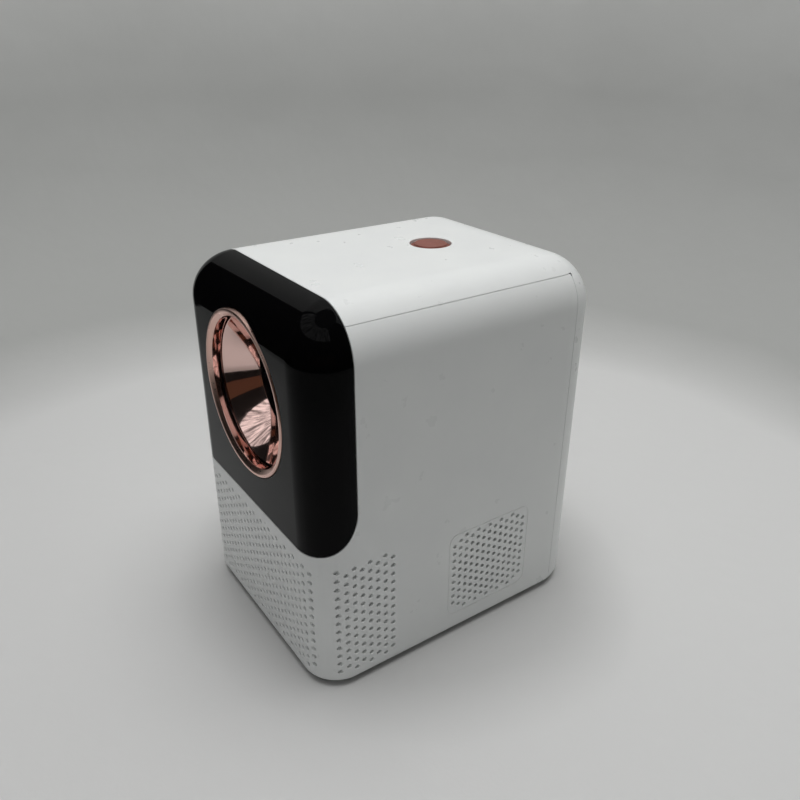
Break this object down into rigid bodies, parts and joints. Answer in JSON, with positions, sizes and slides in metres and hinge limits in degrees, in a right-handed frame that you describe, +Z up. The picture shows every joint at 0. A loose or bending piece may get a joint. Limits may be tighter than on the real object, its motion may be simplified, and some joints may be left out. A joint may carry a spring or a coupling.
{
  "type": "home projector",
  "caption": "Upright rounded-box home projector with a gloss front band, deep plated lens cone, side focus wheel, top button, vents and rear sockets.",
  "frame": {"origin": "centre of the footprint at the underside of the rubber feet", "axes": "+Z up, the lens looks along -Y, left is -X as seen by someone who faces the lens"},
  "size_m": [0.118, 0.1505, 0.17],
  "materials": {
    "white_plastic": "satin moulded white plastic",
    "black_gloss": "piano black gloss",
    "rose_gold_satin": "satin rose gold plating",
    "rose_gold_mirror": "mirror rose gold plating",
    "charcoal_plastic": "fine textured moulding",
    "black_plastic": "matt moulding",
    "grey_nylon": "moulded nylon",
    "foot_rubber": "matt rubber",
    "plated_steel": "nickel plated",
    "insert_brass": "turned brass",
    "sink_aluminium": "extruded aluminium",
    "reflector_chrome": "vacuum metallised reflector",
    "mirror_glass": "front-silvered glass",
    "lens_glass": "coated optical glass",
    "clear_sheet": "clear sheet",
    "display_glass": "dark display glass",
    "lamp_phosphor": "phosphor coating",
    "board_laminate": "green solder mask",
    "winding_tape": "yellow winding tape",
    "filter_foam": "open foam",
    "cone_paper": "coated paper"
  },
  "bodies": {
    "case": {"front_panel": "black_gloss", "body_shell": "white_plastic", "top_rear_cover": "white_plastic", "base_plate": "charcoal_plastic", "foot_front_left": "foot_rubber", "foot_front_right": "foot_rubber", "foot_rear_left": "foot_rubber", "foot_rear_right": "foot_rubber", "base_screw_1": "plated_steel", "base_screw_2": "plated_steel", "base_screw_3": "plated_steel", "base_screw_4": "plated_steel", "tripod_insert": "insert_brass", "lens_ring": "rose_gold_satin", "lens_cone": "rose_gold_mirror", "lens_mount": "black_plastic", "focus_wheel_bracket": "black_plastic", "engine_housing": "black_plastic", "fold_mirror": "mirror_glass", "heat_sink": "sink_aluminium", "lamp_board": "sink_aluminium", "lamp_chip": "lamp_phosphor", "condenser_lens": "lens_glass", "light_cone": "reflector_chrome", "optics_frame": "black_plastic", "collimating_fresnel": "clear_sheet", "heat_glass": "clear_sheet", "lcd_panel": "display_glass", "field_fresnel": "clear_sheet", "side_fan_frame": "black_plastic", "rear_fan_frame": "black_plastic", "dust_filter": "filter_foam", "tact_switch": "black_plastic", "button_board": "board_laminate", "button_bracket": "black_plastic", "main_board": "board_laminate", "processor_heat_sink": "sink_aluminium", "power_board": "board_laminate", "transformer": "winding_tape", "filter_capacitor": "charcoal_plastic", "port_plate": "charcoal_plastic", "mains_inlet": "black_plastic", "hdmi_socket": "plated_steel", "usb_socket": "plated_steel", "av_jack": "black_plastic", "receiver_window": "black_gloss", "speaker_frame_left": "charcoal_plastic", "speaker_frame_right": "charcoal_plastic"},
    "button": {"power_button": "rose_gold_satin"},
    "focus_gear": {"focus_ring": "grey_nylon"},
    "thumb_wheel": {"focus_wheel": "grey_nylon"},
    "barrel": {"lens_barrel": "black_plastic", "front_lens": "lens_glass", "rear_lens": "lens_glass"},
    "side_fan": {"side_fan_rotor": "black_plastic"},
    "rear_fan": {"rear_fan_rotor": "black_plastic"},
    "left_cone": {"speaker_cone_left": "cone_paper"},
    "right_cone": {"speaker_cone_right": "cone_paper"}
  },
  "joints": [
    {"name": "power_button_press", "type": "slide", "parent": "case", "child": "button", "axis": [0, 0, -1], "range_m": [0, 0.0008], "stiffness_N_per_m": 500},
    {"name": "focus_ring_turn", "type": "hinge", "parent": "case", "child": "focus_gear", "pos_m": [0, -0.0415, 0.1208], "axis": [0, 1, 0], "range_deg": [-60, 60]},
    {"name": "focus_wheel_turn", "type": "hinge", "parent": "case", "child": "thumb_wheel", "pos_m": [-0.045, -0.0415, 0.1208], "axis": [0, 1, 0], "range_deg": [-152, 152]},
    {"name": "lens_focus_slide", "type": "slide", "parent": "case", "child": "barrel", "axis": [0, 1, 0], "range_m": [-0.0025, 0.0025]},
    {"name": "side_fan_spin", "type": "hinge", "parent": "case", "child": "side_fan", "pos_m": [0.0505, 0.014, 0.0345], "axis": [1, 0, 0], "continuous": true},
    {"name": "rear_fan_spin", "type": "hinge", "parent": "case", "child": "rear_fan", "pos_m": [0, 0.065, 0.118], "axis": [0, 1, 0], "continuous": true},
    {"name": "left_cone_travel", "type": "slide", "parent": "case", "child": "left_cone", "axis": [0, 1, 0], "range_m": [-0.0005, 0.0005], "stiffness_N_per_m": 1500},
    {"name": "right_cone_travel", "type": "slide", "parent": "case", "child": "right_cone", "axis": [0, 1, 0], "range_m": [-0.0005, 0.0005], "stiffness_N_per_m": 1500}
  ],
  "couplings": [
    {"joint": "focus_ring_turn", "follows": "lens_focus_slide", "rad_per_m": 418},
    {"joint": "focus_wheel_turn", "follows": "lens_focus_slide", "rad_per_m": -1057.3}
  ]
}
